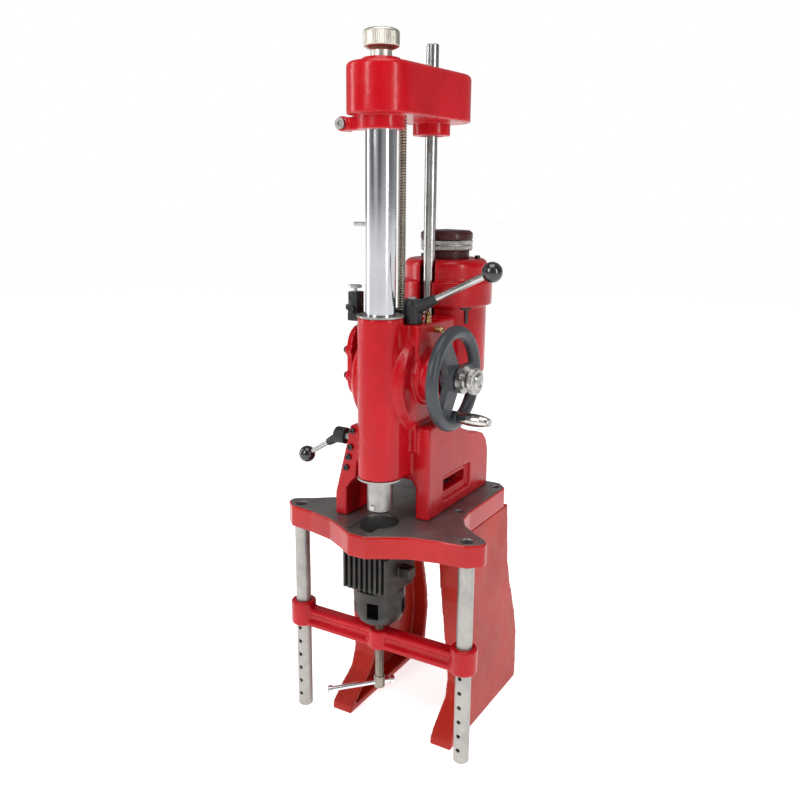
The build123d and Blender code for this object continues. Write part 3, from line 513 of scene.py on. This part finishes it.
def domed_knob():
    """Bright knob on top of the spindle, with a rolled lip under its scalloped rim."""
    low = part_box("top_knob")[0]
    profile = [(0.01105, 0.0), (0.0140, 0.0), (0.0149, 0.0008), (0.0149, 0.0088), (0.0158, 0.0100),
               (0.0222, 0.0126), (0.0248, 0.0142, 1), (0.0254, 0.0160, 1), (0.0254, 0.0320, 1),
               (0.0248, 0.0338, 1), (0.0232, 0.0356), (0.0200, 0.0370), (0.0120, 0.0381), (0.0030, 0.0384),
               (0.0004, 0.0384), (0.0004, 0.0138), (0.01105, 0.0138)]
    mesh = lathe(profile, Vector((SPINDLE.x, SPINDLE.y, low.z)), "Z", 360, True, 60, 0.0004)
    put("top_knob_domed", mesh, NICKEL, "spindle", ["top_knob"])


def clamp_screw():
    """Threaded clamp screw with a plain foot that the cross handle slides through."""
    low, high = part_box("clamp_screw")
    centre_line = Vector((SPINDLE.x, SPINDLE.y, low.z))
    foot = [(0.0082, 0.0), (0.0090, 0.0010), (0.0090, 0.0185), (0.0080, 0.0200)]
    neck = 0.0190
    tip = high.z - low.z - 0.0072
    spigot = [(0.0050, tip - 0.001), (0.0050, tip + 0.0066), (0.0045, tip + 0.0071)]
    work = bmesh.new()
    work.from_mesh(thread(CLAMP_SCREW_R, 0.0009, 0.003, centre_line + Vector((0, 0, neck)), tip - neck))
    work.from_mesh(lathe(spigot, centre_line))
    shank = bpy.data.meshes.new("clamp_screw_shank")
    work.to_mesh(shank)
    work.free()
    shank.shade_smooth()
    body = BODY_OF["clamp_screw"]
    put("clamp_screw_thread", shank, OILED, body, ["clamp_screw"])
    block = put("clamp_screw_foot", lathe(foot, centre_line), OILED, body)
    bar_low, bar_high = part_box("tommy_bar")
    middle = (bar_low + bar_high) / 2
    run = bar_high - bar_low
    bearing = math.atan2(run.y, run.x)
    hole_mesh = lathe([(CROSS_HOLE_R, -0.03), (CROSS_HOLE_R, 0.03)], Vector((0, 0, 0)), "X", 40)
    hole = bpy.data.objects.new("cross_hole", hole_mesh)
    hole.location = (SPINDLE.x, SPINDLE.y, middle.z)
    hole.rotation_euler = (0, 0, bearing)
    bpy.context.scene.collection.objects.link(hole)
    cut = block.modifiers.new("cross_hole", "BOOLEAN")
    cut.object = hole
    cut.operation = "DIFFERENCE"
    bpy.context.view_layer.update()
    applied(block)
    block.data.materials.clear()
    block.data.materials.append(OILED)
    bpy.data.objects.remove(hole)


clamp_screw()
knurled_knob()
knurled_ring()
domed_knob()

# --- camera, lights and floor ---------------------------------------------------------------

ROOM_LIGHT = 0.5
# compass bearing from +X in degrees, and how light the room is on that side
PANELS = ((-180, 0.6), (-150, 0.8), (-130, 0.25), (-112, 0.22), (-103, 0.75), (-86, 0.8), (-76, 0.2),
          (-60, 0.16), (-48, 0.6), (-20, 0.75), (-8, 0.3), (25, 0.3), (60, 0.7), (110, 0.5), (150, 0.6))
CAMERA_PLACE = (0.66136, -1.18058, 0.88654)
CAMERA_AZIMUTH = 30.54
CAMERA_ELEVATION = 13.55
CAMERA_ROLL = 0.5
LENS_MM = 38.12


def camera():
    azimuth, elevation, roll = (math.radians(v) for v in (CAMERA_AZIMUTH, CAMERA_ELEVATION, CAMERA_ROLL))
    ahead = Vector((-math.sin(azimuth) * math.cos(elevation), math.cos(azimuth) * math.cos(elevation),
                    -math.sin(elevation)))
    right = Vector((math.cos(azimuth), math.sin(azimuth), 0))
    up = right.cross(ahead)
    side = right * math.cos(roll) + up * math.sin(roll)
    top = up * math.cos(roll) - right * math.sin(roll)
    data = bpy.data.cameras.new("camera")
    data.lens = LENS_MM
    data.sensor_width = 36
    data.clip_end = 60
    view = bpy.data.objects.new("camera", data)
    basis = Matrix((side, top, -ahead)).transposed().to_4x4()
    view.matrix_world = Matrix.Translation(CAMERA_PLACE) @ basis
    bpy.context.scene.collection.objects.link(view)
    bpy.context.scene.camera = view


def area_light(name, place, target, size, power, colour=(1, 1, 1)):
    data = bpy.data.lights.new(name, "AREA")
    data.shape = "RECTANGLE"
    data.size, data.size_y = size
    data.energy = power
    data.color = colour
    light = bpy.data.objects.new(name, data)
    light.location = place
    direction = Vector(target) - Vector(place)
    light.rotation_euler = direction.to_track_quat("-Z", "Y").to_euler()
    bpy.context.scene.collection.objects.link(light)


def room_walls(tree):
    """White backdrop all round, whose light on the machine comes in bright and dim upright panels."""
    def add(kind, **settings):
        node = tree.nodes.new(kind)
        for key, value in settings.items():
            setattr(node, key, value)
        return node

    back = tree.nodes["Background"]
    turn = add("ShaderNodeSeparateXYZ")
    tree.links.new(add("ShaderNodeTexCoord").outputs["Generated"], turn.inputs[0])
    angle = add("ShaderNodeMath", operation="ARCTAN2")
    tree.links.new(turn.outputs["Y"], angle.inputs[0])
    tree.links.new(turn.outputs["X"], angle.inputs[1])
    share = add("ShaderNodeMapRange")
    share.inputs["From Min"].default_value = -math.pi
    share.inputs["From Max"].default_value = math.pi
    tree.links.new(angle.outputs[0], share.inputs["Value"])
    panels = add("ShaderNodeValToRGB")
    tree.links.new(share.outputs["Result"], panels.inputs["Fac"])
    elements = panels.color_ramp.elements
    while len(elements) < len(PANELS):
        elements.new(0.5)
    for element, (degrees, light) in zip(elements, PANELS):
        element.position = (degrees + 180) / 360
        element.color = (light, light, light, 1)
    tree.links.new(panels.outputs["Color"], back.inputs["Color"])
    back.inputs["Strength"].default_value = ROOM_LIGHT
    white = add("ShaderNodeBackground")
    white.inputs["Color"].default_value = (1, 1, 1, 1)
    white.inputs["Strength"].default_value = 1.0
    blend = add("ShaderNodeMixShader")
    tree.links.new(add("ShaderNodeLightPath").outputs["Is Camera Ray"], blend.inputs["Fac"])
    tree.links.new(back.outputs[0], blend.inputs[1])
    tree.links.new(white.outputs[0], blend.inputs[2])
    tree.links.new(blend.outputs[0], tree.nodes["World Output"].inputs["Surface"])


def studio():
    mesh = bpy.data.meshes.new("floor")
    reach = 30.0
    mesh.from_pydata([(-reach, -reach, 0), (reach, -reach, 0), (reach, reach, 0), (-reach, reach, 0)], [],
                     [(0, 1, 2, 3)])
    floor = bpy.data.objects.new("floor", mesh)
    s = Shader("pale_floor", Roughness=0.6, Emission_Strength=0.75)
    s.bsdf.inputs["Emission Color"].default_value = (1, 1, 1, 1)
    s.link(s.ramp(s.noise(0.8, 2), (0.3, (0.86, 0.86, 0.86)), (0.7, (0.90, 0.90, 0.90))), "Base Color")
    mesh.materials.append(s.material)
    bpy.context.scene.collection.objects.link(floor)
    world = bpy.data.worlds.new("studio")
    world.use_nodes = True
    room_walls(world.node_tree)
    bpy.context.scene.world = world
    area_light("key", (-0.6, -2.4, 2.0), (0, 0, 0.65), (0.6, 1.6), 36)
    area_light("side", (2.4, -0.6, 1.5), (0, 0, 0.6), (0.4, 1.8), 26)
    area_light("left", (-2.2, -0.7, 1.3), (0, 0, 0.6), (0.5, 2.0), 18)
    area_light("top", (0.2, -0.4, 2.8), (0, 0, 0.6), (1.4, 1.4), 26)


camera()
studio()
bpy.context.scene.view_settings.view_transform = "Standard"
